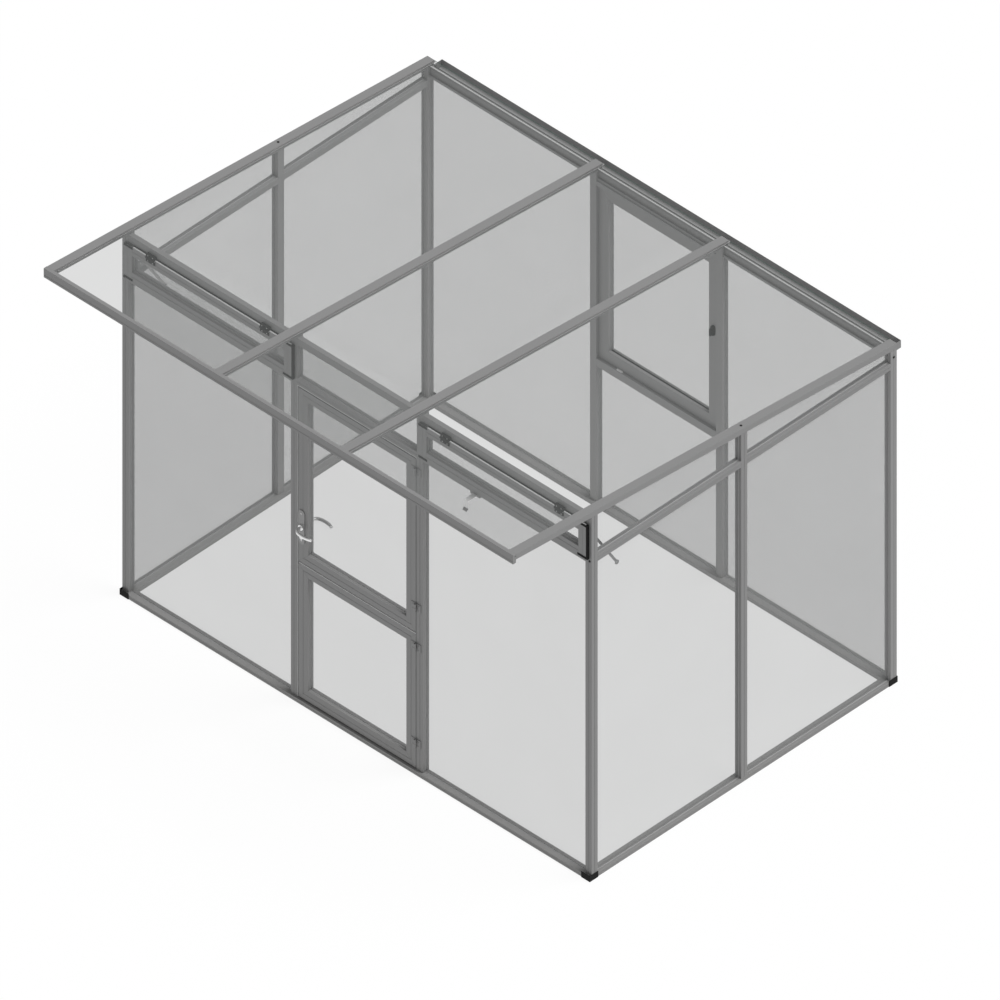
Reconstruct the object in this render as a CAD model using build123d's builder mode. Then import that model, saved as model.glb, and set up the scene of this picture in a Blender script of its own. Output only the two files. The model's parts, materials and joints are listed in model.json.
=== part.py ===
from build123d import *
import math
import os

# Glass greenhouse with a flat roof that falls to the back. All lengths are in millimetres.
# X runs along the building, Y from the front wall to the back wall and Z up.
# The origin is on the ground, under the middle of the whole outline.

# Overall sizes
frame_length = 2964.0
frame_depth = 2000.0
roof_overhang = 500.0
gutter_reach = 40.0
front_height = 2200.0
roof_drop = 220.0
door_opening = 755.0

# Glass and the grooves that hold it
glass_thickness = 4.0
glass_play = 0.3
glass_setback = 17.0
groove_depth = 9.0
glass_bite = 6.5

# Extruded bars of the frame
bar_wall = 2.0
chamber_least = 4.0
line_width = 2.4
line_depth = 0.8
post_size = 40.0
base_nose = 12.0
base_rail_height = 24.0
base_rail_depth = 52.0
transom_height = 36.0
transom_drop = 135.0
front_top_gap = 1.7
front_top_height = 41.0
front_top_setback = 0.0
front_top_depth = 26.0
back_top_height = 51.0
back_top_setback = 6.0
back_top_depth = 16.0
top_lip_depth = 11.0
top_lip_height = 14.0
rafter_width = 40.0
rafter_depth = 33.0
rafter_lip = 17.0
rafter_cap_height = 9.0
rafter_cap_overhang = 3.0
roof_glass_reach = 10.0
outer_rafter_width = 42.0
front_rail_depth = 20.0
front_rail_height = 53.0
front_rail_line = 14.0
seat_gap = 0.3
cut_overrun = 5.0

# Corner feet
foot_wall = 3.0
foot_arm = 56.0
foot_height = 34.0

# Gutter
gutter_drop = 56.0
gutter_back_height = 43.0
gutter_front_height = 22.0
gutter_wall = 2.0
gutter_left_inset = 54.0
gutter_right_inset = 12.0

# Vents over the side bays of the front
sash_gap = 0.5
vent_proud = 12.0
vent_depth = 42.0
vent_face = 51.0
vent_overlap = 18.0
vent_foot_overlap = 9.0
vent_head_gap = 6.0
vent_setback = 15.0
vent_hinge_inset = 170.0
vent_hinge_width = 56.0
vent_hinge_rise = 18.0
vent_hinge_drop = 26.0
vent_hinge_thickness = 4.0
vent_hinge_barrel = 6.0
strap_thickness = 5.0
strap_plate_width = 26.0
strap_plate_height = 30.0
vent_stay_inset = 33.0
vent_stay_width = 13.0
vent_stay_head = 76.0
vent_stay_reach = 186.0
vent_stay_drop = 292.0
vent_stay_eye = 12.0
vent_stay_hole = 5.0

# Window in the middle bay of the back
window_sill_level = 814.0
window_sill_height = 45.0
window_head_height = 27.0
window_depth = 36.0
window_recess = 17.0
window_stile_face = 60.0
window_rail_face = 63.0
window_setback = 14.0
window_handle_level = 1426.0
window_handle_width = 22.0
window_handle_height = 58.0
window_handle_thickness = 9.0
window_knob_width = 12.0
window_knob_height = 44.0
window_knob_reach = 16.0

# Door of two leaves, one over the other
leaf_depth = 37.0
leaf_setback = 14.0
leaf_gap = 6.0
leaf_head_gap = 9.0
leaf_split_gap = 12.0
latch_gap = 8.0
leaf_split_level = 811.0
leaf_stile_face = 60.0
lower_foot_face = 62.0
lower_head_face = 61.0
upper_foot_face = 60.0
upper_head_face = 60.0

# Lift-off hinges of the door
hinge_offset = 8.0
hinge_barrel_radius = 7.0
hinge_pin_radius = 3.0
hinge_pin_play = 0.15
hinge_plate_width = 30.0
hinge_plate_thickness = 3.0
hinge_clear = 1.0
hinge_height = 44.0
hinge_split = 0.6
hinge_foot_inset = 150.0
hinge_head_inset = 70.0

# Lock plates and lever handle
lever_rise = 208.0
lever_inset = 22.0
spindle_diameter = 12.0
spindle_play = 0.4
lever_width = 13.0
lever_height = 15.0
lever_chamfer = 3.0
lever_gap = 1.0
lever_neck = 20.0
lever_elbow = 20.0
lever_standoff = 46.0
lever_reach = 100.0
lever_tip_standoff = 40.0
lever_inner_extra = 13.0
lock_plate_width = 38.0
lock_plate_height = 196.0
lock_plate_thickness = 4.0

# Catch on the front wall that holds the upper leaf open
catch_block_width = 60.0
catch_block_drop = 13.0
catch_block_depth = 14.0
catch_width = 26.0
catch_thickness = 3.0
catch_clear = 2.0
catch_lip_drop = 42.0
catch_flare = 12.0

# Places that follow from the sizes above
total_depth = roof_overhang + frame_depth + gutter_reach
y_roof_front = -total_depth / 2
y_base_front = y_roof_front + roof_overhang
y_base_middle = y_base_front + frame_depth / 2
y_back = y_base_front + frame_depth
y_front = y_base_front + base_nose
y_middle = (y_front + y_back) / 2
half_length = frame_length / 2
wall_depth = y_back - y_front
half_opening = door_opening / 2
eaves_height = front_height - roof_drop
roof_fall = roof_drop / (y_back - y_roof_front)
pitch = math.atan(roof_fall)
roof_run = Vector(0, math.cos(pitch), -math.sin(pitch))
roof_glass_plumb = glass_thickness / math.cos(pitch)
groove_width = glass_thickness + 2 * glass_play
transom_level = eaves_height - transom_drop
transom_top = transom_level + transom_height
gutter_level = eaves_height - gutter_drop
y_rafter_front = y_roof_front + front_rail_depth
y_rafter_back = y_back


def rafter_under(y):
    """Height of the underside of the rafters at a place along Y."""
    return front_height - roof_fall * (y - y_roof_front) - rafter_depth


def roof_glass_under(y):
    """Height of the underside of the roof glass at a place along Y."""
    return rafter_under(y) + rafter_lip + glass_play


front_top_level = rafter_under(y_front + front_top_depth) - front_top_gap - front_top_height
back_top_level = rafter_under(y_back - back_top_setback) - seat_gap - back_top_height

# Each wall has a plane on the ground: x along the wall, y from its outer face inwards
front_wall = Plane(origin=(0, y_front, 0), x_dir=(1, 0, 0), z_dir=(0, 0, 1))
back_wall = Plane(origin=(0, y_back, 0), x_dir=(-1, 0, 0), z_dir=(0, 0, 1))
left_wall = Plane(origin=(-half_length, y_middle, 0), x_dir=(0, -1, 0), z_dir=(0, 0, 1))
right_wall = Plane(origin=(half_length, y_middle, 0), x_dir=(0, 1, 0), z_dir=(0, 0, 1))
roof_under_plane = Plane(
    origin=(0, y_front, rafter_under(y_front)),
    x_dir=(1, 0, 0),
    z_dir=(0, math.sin(pitch), math.cos(pitch)),
)

# Places of the posts along the long walls, and the clear bays between them
corner_post_place = half_length - post_size / 2
door_post_place = half_opening + post_size / 2
side_bay_low = half_opening + post_size
side_bay_high = half_length - post_size
side_wall_half = wall_depth / 2 - post_size


def save(part, name):
    """Label a finished piece and write its file."""
    part.label = name
    export_step(part, f"parts/{name}.step")


def post_plane(wall, along, level):
    """Plane of an upright bar's section: x along the wall, y inwards."""
    return Plane(origin=wall.from_local_coords((along, 0, level)), x_dir=wall.x_dir, z_dir=wall.z_dir)


def rail_plane(wall, along, level):
    """Plane of a level bar's section: x up, y inwards."""
    return Plane(origin=wall.from_local_coords((along, 0, level)), x_dir=wall.z_dir, z_dir=-wall.x_dir)


def pane_plane(wall, setback):
    """Plane of a pane's outer face: x along the wall, y up."""
    return Plane(origin=wall.from_local_coords((0, setback, 0)), x_dir=wall.x_dir, z_dir=-wall.y_dir)


def glazing_section(face, depth, setback, groove_sides, inner_chamber=True):
    """Draw a hollow bar: x across the pane, y from the outer face inwards."""
    inner_start = setback + glass_thickness + glass_play + bar_wall
    rooms = [(bar_wall, setback - glass_play - bar_wall)]
    if inner_chamber:
        rooms.append((inner_start, depth - bar_wall))
    with Locations((0, depth / 2)):
        Rectangle(face, depth)
    for start, stop in rooms:
        if stop - start > chamber_least:
            with Locations((0, (start + stop) / 2)):
                Rectangle(face - 2 * bar_wall, stop - start, mode=Mode.SUBTRACT)
    with Locations((0, line_depth / 2)):
        Rectangle(line_width, line_depth, mode=Mode.SUBTRACT)
    for side in groove_sides:
        with Locations((side * (face - groove_depth) / 2, setback + glass_thickness / 2)):
            Rectangle(groove_depth, groove_width, mode=Mode.SUBTRACT)


def pane(wall, setback, low, high):
    """Make one upright rectangular pane from its low and high corners along and up the wall."""
    with BuildPart() as sheet:
        with BuildSketch(pane_plane(wall, setback)):
            with Locations(((low[0] + high[0]) / 2, (low[1] + high[1]) / 2)):
                Rectangle(high[0] - low[0], high[1] - low[1])
        extrude(amount=-glass_thickness)
    return sheet.part


def mitred_bar(section_plane, face, depth, setback, groove_side, half_run, cuts):
    """Make one bar of a sash about the middle of its run and cut its ends to the given planes."""
    with BuildPart() as bar:
        with BuildSketch(section_plane):
            glazing_section(face, depth, setback, (groove_side,))
        extrude(amount=half_run, both=True)
        for cut in cuts:
            split(bisect_by=cut, keep=Keep.BOTTOM)
    return bar.part


def sash(wall, low, high, stile_face, foot_face, head_face, depth, setback):
    """Make the four mitred bars of a glazed sash, as its stiles and its rails."""
    centre = (low[0] + high[0]) / 2
    middle = (low[1] + high[1]) / 2
    half_width = (high[0] - low[0]) / 2
    half_height = (high[1] - low[1]) / 2
    rail_faces = {-1: foot_face, 1: head_face}

    def mitre(side, end, stile):
        """Plane through one corner of the sash that faces out of the stile or out of the rail."""
        corner = wall.from_local_coords((centre + side * half_width, 0, middle + end * half_height))
        outward = wall.x_dir * (-side * rail_faces[end]) + wall.z_dir * (end * stile_face)
        return Plane(origin=corner, z_dir=outward if stile else -outward)

    stiles = []
    for side in (-1, 1):
        place = centre + side * (half_width - stile_face / 2)
        cuts = [mitre(side, end, True) for end in (-1, 1)]
        plane = post_plane(wall, place, middle)
        stiles.append(mitred_bar(plane, stile_face, depth, setback, -side, half_height, cuts))
    rails = []
    for end in (-1, 1):
        level = middle + end * (half_height - rail_faces[end] / 2)
        cuts = [mitre(side, end, False) for side in (-1, 1)]
        plane = rail_plane(wall, centre, level)
        rails.append(mitred_bar(plane, rail_faces[end], depth, setback, -end, half_width, cuts))
    return stiles, rails


def sash_pane(wall, low, high, stile_face, foot_face, head_face, setback):
    """Make the pane that sits in the grooves of a sash."""
    inner_low = (low[0] + stile_face - glass_bite, low[1] + foot_face - glass_bite)
    inner_high = (high[0] - stile_face + glass_bite, high[1] - head_face + glass_bite)
    return pane(wall, setback, inner_low, inner_high)


# Base rails, mitred at the corners; the front one reaches out in front of the posts
base_rails = {
    "base_rail_front": (front_wall, 0, half_length, base_nose),
    "base_rail_back": (back_wall, 0, half_length, 0),
    "base_rail_left": (left_wall, y_middle - y_base_middle, frame_depth / 2, 0),
    "base_rail_right": (right_wall, y_base_middle - y_middle, frame_depth / 2, 0),
}
for name, (wall, centre, half_run, nose) in base_rails.items():
    base_wall = Plane(origin=wall.from_local_coords((centre, -nose, 0)), x_dir=wall.x_dir, z_dir=wall.z_dir)
    with BuildPart() as base_rail:
        with BuildSketch(rail_plane(base_wall, 0, base_rail_height / 2)):
            glazing_section(base_rail_height, base_rail_depth, glass_setback + nose, (1,))
        extrude(amount=half_run, both=True)
        for end in (-1, 1):
            corner = base_wall.from_local_coords((end * half_run, 0, 0))
            split(bisect_by=Plane(origin=corner, z_dir=wall.x_dir * end + wall.y_dir), keep=Keep.BOTTOM)
    save(base_rail.part, name)

# Corner feet that wrap the base rails
with BuildPart() as corner_feet:
    with BuildSketch():
        for side in (-1, 1):
            for end, face in ((-1, y_base_front), (1, y_back)):
                x_corner = side * (half_length + foot_wall)
                y_corner = face + end * foot_wall
                with Locations((x_corner - side * foot_arm / 2, y_corner - end * foot_arm / 2)):
                    Rectangle(foot_arm, foot_arm)
                inset = (foot_arm + foot_wall) / 2
                with Locations((x_corner - side * inset, y_corner - end * inset)):
                    Rectangle(foot_arm - foot_wall, foot_arm - foot_wall, mode=Mode.SUBTRACT)
    extrude(amount=foot_height)
save(corner_feet.part, "corner_feet")

# Corner posts, with a groove for each of the two walls that meet there
corner_posts = {
    "corner_post_front_left": (front_wall, -1),
    "corner_post_front_right": (front_wall, 1),
    "corner_post_back_left": (back_wall, 1),
    "corner_post_back_right": (back_wall, -1),
}
for name, (wall, side) in corner_posts.items():
    with BuildPart() as corner_post:
        with BuildSketch(post_plane(wall, side * corner_post_place, base_rail_height)):
            glazing_section(post_size, post_size, glass_setback, (-side,), False)
            groove_place = side * (post_size / 2 - glass_setback - glass_thickness / 2)
            with Locations((groove_place, post_size - groove_depth / 2)):
                Rectangle(groove_width, groove_depth, mode=Mode.SUBTRACT)
            with Locations((side * (post_size - line_depth) / 2, post_size / 2)):
                Rectangle(line_depth, line_width, mode=Mode.SUBTRACT)
        extrude(amount=front_height)
        split(bisect_by=roof_under_plane, keep=Keep.BOTTOM)
    save(corner_post.part, name)

# Posts between two panes: beside the door, beside the window and in the side walls
middle_posts = {
    "door_post_left": (front_wall, -door_post_place),
    "door_post_right": (front_wall, door_post_place),
    "back_post_left": (back_wall, door_post_place),
    "back_post_right": (back_wall, -door_post_place),
    "side_post_left": (left_wall, 0),
    "side_post_right": (right_wall, 0),
}
for name, (wall, along) in middle_posts.items():
    with BuildPart() as middle_post:
        with BuildSketch(post_plane(wall, along, base_rail_height)):
            glazing_section(post_size, post_size, glass_setback, (-1, 1))
        extrude(amount=front_height)
        split(bisect_by=roof_under_plane, keep=Keep.BOTTOM)
    save(middle_post.part, name)

# Level bars between the posts, as runs from a low to a high place along their wall
side_bays = ((-side_bay_high, -side_bay_low), (side_bay_low, side_bay_high))
middle_bay = ((-half_opening, half_opening),)
half_walls = ((-side_wall_half, -post_size / 2), (post_size / 2, side_wall_half))
level_bars = {
    "door_head": (front_wall, middle_bay, transom_level, transom_height),
    "vent_sills": (front_wall, side_bays, transom_level, transom_height),
    "side_transom_left": (left_wall, half_walls, transom_level, transom_height),
    "side_transom_right": (right_wall, half_walls, transom_level, transom_height),
}
for name, (wall, runs, level, height) in level_bars.items():
    with BuildPart() as level_bar:
        for low, high in runs:
            with BuildSketch(rail_plane(wall, (low + high) / 2, level + height / 2)):
                glazing_section(height, post_size, glass_setback, (-1, 1))
            extrude(amount=(high - low) / 2, both=True)
    save(level_bar.part, name)

# Top rails with a lip inside that stiffens the foot of the bar and holds the glass
top_rails = {
    "front_top_rail": (front_wall, front_top_level, front_top_height, front_top_setback, front_top_depth),
    "back_top_rail": (back_wall, back_top_level, back_top_height, back_top_setback, back_top_depth),
}
for name, (wall, level, height, setback, depth) in top_rails.items():
    chamber_height = height - top_lip_height - 2 * bar_wall
    with BuildPart() as top_rail:
        for low, high in side_bays + middle_bay:
            with BuildSketch(rail_plane(wall, (low + high) / 2, level)):
                with Locations((height / 2, setback + depth / 2)):
                    Rectangle(height, depth)
                with Locations((top_lip_height / 2, setback + depth + top_lip_depth / 2)):
                    Rectangle(top_lip_height, top_lip_depth)
                with Locations((groove_depth / 2, glass_setback + glass_thickness / 2)):
                    Rectangle(groove_depth, groove_width, mode=Mode.SUBTRACT)
                with Locations(((top_lip_height + height) / 2, setback + depth / 2)):
                    Rectangle(chamber_height, depth - 2 * bar_wall, mode=Mode.SUBTRACT)
            extrude(amount=(high - low) / 2, both=True)
    save(top_rail.part, name)

# Sill and head bar of the window at the back
with BuildPart() as window_sill:
    with BuildSketch(rail_plane(back_wall, 0, window_sill_level + window_sill_height / 2)):
        glazing_section(window_sill_height, post_size, glass_setback, (-1,))
    extrude(amount=half_opening, both=True)
save(window_sill.part, "window_sill")

with BuildPart() as window_head:
    head_level = back_top_level - window_head_height / 2
    with BuildSketch(rail_plane(back_wall, 0, head_level)):
        glazing_section(window_head_height, post_size, glass_setback, ())
    extrude(amount=half_opening, both=True)
save(window_head.part, "window_head")

# Rafters: a groove on each side that holds roof glass, and one below over a side wall
outer_rafter_place = half_length - outer_rafter_width / 2
rafters = {
    "rafter_left": (-outer_rafter_place, outer_rafter_width, (1,)),
    "rafter_middle_left": (-door_post_place, rafter_width, (-1, 1)),
    "rafter_middle_right": (door_post_place, rafter_width, (-1, 1)),
    "rafter_right": (outer_rafter_place, outer_rafter_width, (-1,)),
}
roof_groove_width = roof_glass_plumb + 2 * glass_play
rafter_run = (y_rafter_back - y_rafter_front) / math.cos(pitch)
web_chamber = rafter_lip - groove_depth - 2 * bar_wall
cap_floor = rafter_lip + roof_groove_width + bar_wall
cap_chamber = rafter_depth - bar_wall - cap_floor
wall_groove_place = half_length - glass_setback - glass_thickness / 2
for name, (place, width, groove_sides) in rafters.items():
    start = Vector(place, y_rafter_front, rafter_under(y_rafter_front))
    section_plane = Plane(origin=start, x_dir=(1, 0, 0), z_dir=(0, -1, 0))
    with BuildPart() as rafter:
        with BuildSketch(section_plane):
            with Locations((0, rafter_depth / 2)):
                Rectangle(width, rafter_depth)
            for side in groove_sides:
                cap_place = (side * (width + rafter_cap_overhang) / 2, rafter_depth - rafter_cap_height / 2)
                with Locations(cap_place):
                    Rectangle(rafter_cap_overhang, rafter_cap_height)
                groove_place = (side * (width - groove_depth) / 2, rafter_lip + roof_groove_width / 2)
                with Locations(groove_place):
                    Rectangle(groove_depth, roof_groove_width, mode=Mode.SUBTRACT)
            if len(groove_sides) == 1:
                wall_groove = wall_groove_place - outer_rafter_place
                with Locations((-groove_sides[0] * wall_groove, groove_depth / 2)):
                    Rectangle(groove_width, groove_depth, mode=Mode.SUBTRACT)
        extrude(amount=rafter_run, dir=roof_run)
        with BuildSketch(section_plane):
            with Locations((0, groove_depth + bar_wall + web_chamber / 2)):
                Rectangle(width - 2 * bar_wall, web_chamber)
            with Locations((0, cap_floor + cap_chamber / 2)):
                Rectangle(width - 2 * bar_wall, cap_chamber)
        extrude(amount=rafter_run - bar_wall, dir=roof_run, mode=Mode.SUBTRACT)
    save(rafter.part, name)

# Front edge rail of the roof, grooved at its back for the glass
with BuildPart() as roof_front_rail:
    groove_start = y_rafter_front - groove_depth
    groove_end = y_rafter_front + cut_overrun
    with BuildSketch(Plane.YZ):
        with Locations((y_roof_front + front_rail_depth / 2, front_height - front_rail_height / 2)):
            Rectangle(front_rail_depth, front_rail_height)
        with Locations((y_roof_front + line_depth / 2, front_height - front_rail_height + front_rail_line)):
            Rectangle(line_depth, line_width, mode=Mode.SUBTRACT)
        with BuildLine():
            Polyline(
                (groove_start, roof_glass_under(groove_start) - glass_play),
                (groove_end, roof_glass_under(groove_end) - glass_play),
                (groove_end, roof_glass_under(groove_end) + roof_glass_plumb + glass_play),
                (groove_start, roof_glass_under(groove_start) + roof_glass_plumb + glass_play),
                close=True,
            )
        make_face(mode=Mode.SUBTRACT)
    extrude(amount=half_length, both=True)
save(roof_front_rail.part, "roof_front_rail")

# Roof glass, one pane between each two rafters
outer_rafter_inner = half_length - outer_rafter_width
inner_rafter_low = door_post_place - rafter_width / 2
inner_rafter_high = door_post_place + rafter_width / 2
roof_bays = (
    (-outer_rafter_inner, -inner_rafter_high),
    (-inner_rafter_low, inner_rafter_low),
    (inner_rafter_high, outer_rafter_inner),
)
y_glass_front = y_rafter_front - glass_bite
roof_glass_run = (y_back + roof_glass_reach - y_glass_front) / math.cos(pitch)
with BuildPart() as roof_glass:
    for low, high in roof_bays:
        start = Vector((low + high) / 2, y_glass_front, roof_glass_under(y_glass_front))
        with BuildSketch(Plane(origin=start, x_dir=(1, 0, 0), z_dir=(0, -1, 0))):
            with Locations((0, roof_glass_plumb / 2)):
                Rectangle(high - low + 2 * glass_bite, roof_glass_plumb)
        extrude(amount=roof_glass_run, dir=roof_run)
save(roof_glass.part, "roof_glass")

# Gutter with closed ends on the back faces of the posts, under the edge of the glass
gutter_back = y_back + gutter_reach
gutter_left = gutter_left_inset - half_length
gutter_right = half_length - gutter_right_inset
inner_front = y_back + gutter_wall
inner_back = gutter_back - gutter_wall
gutter_floor = gutter_level + gutter_wall
front_top = gutter_level + gutter_front_height
back_top = gutter_level + gutter_back_height
end_step = y_back + roof_glass_reach + seat_gap
end_step_level = roof_glass_under(end_step) - seat_gap
with BuildPart() as gutter:
    with BuildSketch(Plane.YZ.offset(gutter_left)):
        with BuildLine():
            Polyline(
                (y_back, gutter_level),
                (gutter_back, gutter_level),
                (gutter_back, back_top),
                (inner_back, back_top),
                (inner_back, gutter_floor),
                (inner_front, gutter_floor),
                (inner_front, front_top),
                (y_back, front_top),
                close=True,
            )
        make_face()
    extrude(amount=gutter_right - gutter_left)
    for end in (gutter_left, gutter_right - gutter_wall):
        with BuildSketch(Plane.YZ.offset(end)):
            with BuildLine():
                Polyline(
                    (inner_front, gutter_floor),
                    (inner_back, gutter_floor),
                    (inner_back, back_top),
                    (end_step, back_top),
                    (end_step, end_step_level),
                    (inner_front, end_step_level),
                    close=True,
                )
            make_face()
        extrude(amount=gutter_wall)
save(gutter.part, "gutter")

# Glass of the four walls
pane_low = base_rail_height - glass_bite
transom_bite = transom_level + glass_bite
with BuildPart() as front_glass:
    for low, high in side_bays:
        add(pane(front_wall, glass_setback, (low - glass_bite, pane_low), (high + glass_bite, transom_bite)))
    half_pane = half_opening + glass_bite
    over_door_low = transom_top - glass_bite
    over_door_high = front_top_level + glass_bite
    add(pane(front_wall, glass_setback, (-half_pane, over_door_low), (half_pane, over_door_high)))
save(front_glass.part, "front_glass")

with BuildPart() as back_glass:
    for low, high in side_bays:
        back_high = back_top_level + glass_bite
        add(pane(back_wall, glass_setback, (low - glass_bite, pane_low), (high + glass_bite, back_high)))
    under_sill = window_sill_level + glass_bite
    add(pane(back_wall, glass_setback, (-half_pane, pane_low), (half_pane, under_sill)))
save(back_glass.part, "back_glass")

for name, wall, run_sign in (("left_glass", left_wall, -1), ("right_glass", right_wall, 1)):
    with BuildPart() as side_glass:
        for low, high in half_walls:
            near = low - glass_bite
            far = high + glass_bite
            add(pane(wall, glass_setback, (near, pane_low), (far, transom_bite)))
            with BuildSketch(pane_plane(wall, glass_setback)):
                with BuildLine():
                    Polyline(
                        (near, transom_top - glass_bite),
                        (far, transom_top - glass_bite),
                        (far, rafter_under(y_middle + run_sign * far) + glass_bite),
                        (near, rafter_under(y_middle + run_sign * near) + glass_bite),
                        close=True,
                    )
                make_face()
            extrude(amount=-glass_thickness)
    save(side_glass.part, name)

# Vents over the side bays of the front, with a flange that laps over the posts and the sill
vent_low = transom_top - vent_foot_overlap
vent_high = front_top_level - vent_head_gap
vent_height = vent_high - vent_low
vent_wall = Plane(
    origin=front_wall.from_local_coords((0, -vent_proud, 0)), x_dir=front_wall.x_dir, z_dir=front_wall.z_dir
)
vent_corners = [((low - vent_overlap, vent_low), (high + vent_overlap, vent_high)) for low, high in side_bays]
vent_body = vent_depth - vent_proud
with BuildPart() as vent_stiles:
    for low, high in vent_corners:
        for side, edge in ((-1, low[0]), (1, high[0])):
            with BuildSketch(post_plane(vent_wall, edge - side * vent_face / 2, vent_low)):
                glazing_section(vent_face, vent_depth, vent_setback, (-side,))
            extrude(amount=vent_height)
            lap = vent_overlap + sash_gap
            with BuildSketch(post_plane(vent_wall, edge - side * lap / 2, vent_low)):
                with Locations((0, vent_proud + vent_body / 2)):
                    Rectangle(lap, vent_body)
            extrude(amount=vent_height, mode=Mode.SUBTRACT)
            with BuildSketch(post_plane(vent_wall, edge - side * vent_face / 2, vent_low)):
                with Locations((0, vent_proud + vent_body / 2)):
                    Rectangle(vent_face, vent_body)
            extrude(amount=vent_foot_overlap + sash_gap, mode=Mode.SUBTRACT)
save(vent_stiles.part, "vent_stiles")

with BuildPart() as vent_rails:
    for low, high in vent_corners:
        centre = (low[0] + high[0]) / 2
        half_run = (high[0] - low[0]) / 2 - vent_face
        for end, level in ((-1, vent_low), (1, vent_high)):
            with BuildSketch(rail_plane(vent_wall, centre, level - end * vent_face / 2)):
                glazing_section(vent_face, vent_depth, vent_setback, (-end,))
                if end < 0:
                    lap = vent_foot_overlap + sash_gap
                    with Locations(((lap - vent_face) / 2, vent_proud + vent_body / 2)):
                        Rectangle(lap, vent_body, mode=Mode.SUBTRACT)
            extrude(amount=half_run, both=True)
save(vent_rails.part, "vent_rails")

with BuildPart() as vent_glass:
    for low, high in vent_corners:
        add(sash_pane(vent_wall, low, high, vent_face, vent_face, vent_face, vent_setback))
save(vent_glass.part, "vent_glass")

# Hinges of the vents: a plate on the top rail, a barrel and a plate on the sash
vent_hinge_places = []
for low, high in vent_corners:
    vent_hinge_places.append(low[0] + vent_hinge_inset)
    vent_hinge_places.append(high[0] - vent_hinge_inset)
with BuildPart() as vent_hinges:
    for place in vent_hinge_places:
        with BuildSketch(rail_plane(front_wall, place, vent_high)):
            with Locations((vent_hinge_rise / 2, -(vent_proud + vent_hinge_thickness) / 2)):
                Rectangle(vent_hinge_rise, vent_proud + vent_hinge_thickness)
            with Locations((-vent_hinge_drop / 2, -vent_proud - vent_hinge_thickness / 2)):
                Rectangle(vent_hinge_drop, vent_hinge_thickness)
            with Locations((0, -vent_proud - vent_hinge_thickness)):
                Circle(vent_hinge_barrel)
            with Locations((-vent_hinge_drop / 2, -vent_proud + vent_body / 2)):
                Rectangle(vent_hinge_drop, vent_body, mode=Mode.SUBTRACT)
            with Locations(((front_top_level - vent_high) / 2, vent_body / 2)):
                Rectangle(front_top_level - vent_high, vent_body, mode=Mode.SUBTRACT)
        extrude(amount=vent_hinge_width / 2, both=True)
save(vent_hinges.part, "vent_hinges")

# Slanted stay with an eye inside each vent, on a plate on the outer stile
with BuildPart() as vent_handles:
    vent_stay_level = vent_high - vent_stay_head
    strap_start = vent_depth + strap_thickness
    stay_top = (0, strap_start + vent_stay_width / 2)
    stay_foot = (-vent_stay_drop, strap_start + vent_stay_reach)
    for side, (low, high) in zip((1, -1), vent_corners):
        outer_edge = low[0] if side > 0 else high[0]
        stay_place = outer_edge + side * vent_stay_inset
        with BuildSketch(pane_plane(vent_wall, vent_depth)):
            with Locations((stay_place, vent_stay_level)):
                Rectangle(strap_plate_width, strap_plate_height)
        extrude(amount=-strap_thickness)
        with BuildSketch(rail_plane(vent_wall, stay_place, vent_stay_level)):
            with BuildLine():
                Line(stay_top, stay_foot)
            trace(line_width=vent_stay_width)
            with Locations(stay_top):
                Rectangle(strap_plate_height, vent_stay_width)
            with Locations(stay_foot):
                Circle(vent_stay_eye)
                Circle(vent_stay_hole, mode=Mode.SUBTRACT)
        extrude(amount=strap_thickness / 2, both=True)
save(vent_handles.part, "vent_handles")

# Window in the upper part of the middle bay of the back
window_outer = post_size - window_recess - window_depth
window_wall = Plane(
    origin=back_wall.from_local_coords((0, window_outer, 0)), x_dir=back_wall.x_dir, z_dir=back_wall.z_dir
)
window_low = (-half_opening + sash_gap, window_sill_level + window_sill_height + sash_gap)
window_high = (half_opening - sash_gap, back_top_level - window_head_height - sash_gap)
window_faces = (window_stile_face, window_rail_face, window_rail_face)
window_bars = sash(window_wall, window_low, window_high, *window_faces, window_depth, window_setback)
with BuildPart() as window_stiles:
    add(window_bars[0])
save(window_stiles.part, "window_stiles")

with BuildPart() as window_rails:
    add(window_bars[1])
save(window_rails.part, "window_rails")

with BuildPart() as window_glass:
    add(sash_pane(window_wall, window_low, window_high, *window_faces, window_setback))
save(window_glass.part, "window_glass")

with BuildPart() as window_handle:
    handle_place = (window_low[0] + window_stile_face / 2, window_handle_level)
    with BuildSketch(pane_plane(window_wall, window_depth)):
        with Locations(handle_place):
            SlotCenterToCenter(window_handle_height - window_handle_width, window_handle_width, rotation=90)
    extrude(amount=-window_handle_thickness)
    with BuildSketch(pane_plane(window_wall, window_depth + window_handle_thickness)):
        with Locations(handle_place):
            SlotCenterToCenter(window_knob_height - window_knob_width, window_knob_width, rotation=90)
    extrude(amount=-window_knob_reach)
save(window_handle.part, "window_handle")

# Door leaves
leaf_left = -half_opening + latch_gap
leaf_right = half_opening - leaf_gap
lower_low = (leaf_left, base_rail_height + leaf_gap)
lower_high = (leaf_right, leaf_split_level)
upper_low = (leaf_left, leaf_split_level + leaf_split_gap)
upper_high = (leaf_right, transom_level - leaf_head_gap)
lower_faces = (leaf_stile_face, lower_foot_face, lower_head_face)
upper_faces = (leaf_stile_face, upper_foot_face, upper_head_face)
lower_bars = sash(front_wall, lower_low, lower_high, *lower_faces, leaf_depth, leaf_setback)
upper_bars = sash(front_wall, upper_low, upper_high, *upper_faces, leaf_depth, leaf_setback)
lever_level = upper_low[1] + lever_rise
lever_place = leaf_left + lever_inset
lever_origin = front_wall.from_local_coords((lever_place, 0, lever_level))
lever_plane = Plane(origin=lever_origin, x_dir=front_wall.x_dir, z_dir=-front_wall.y_dir)
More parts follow.
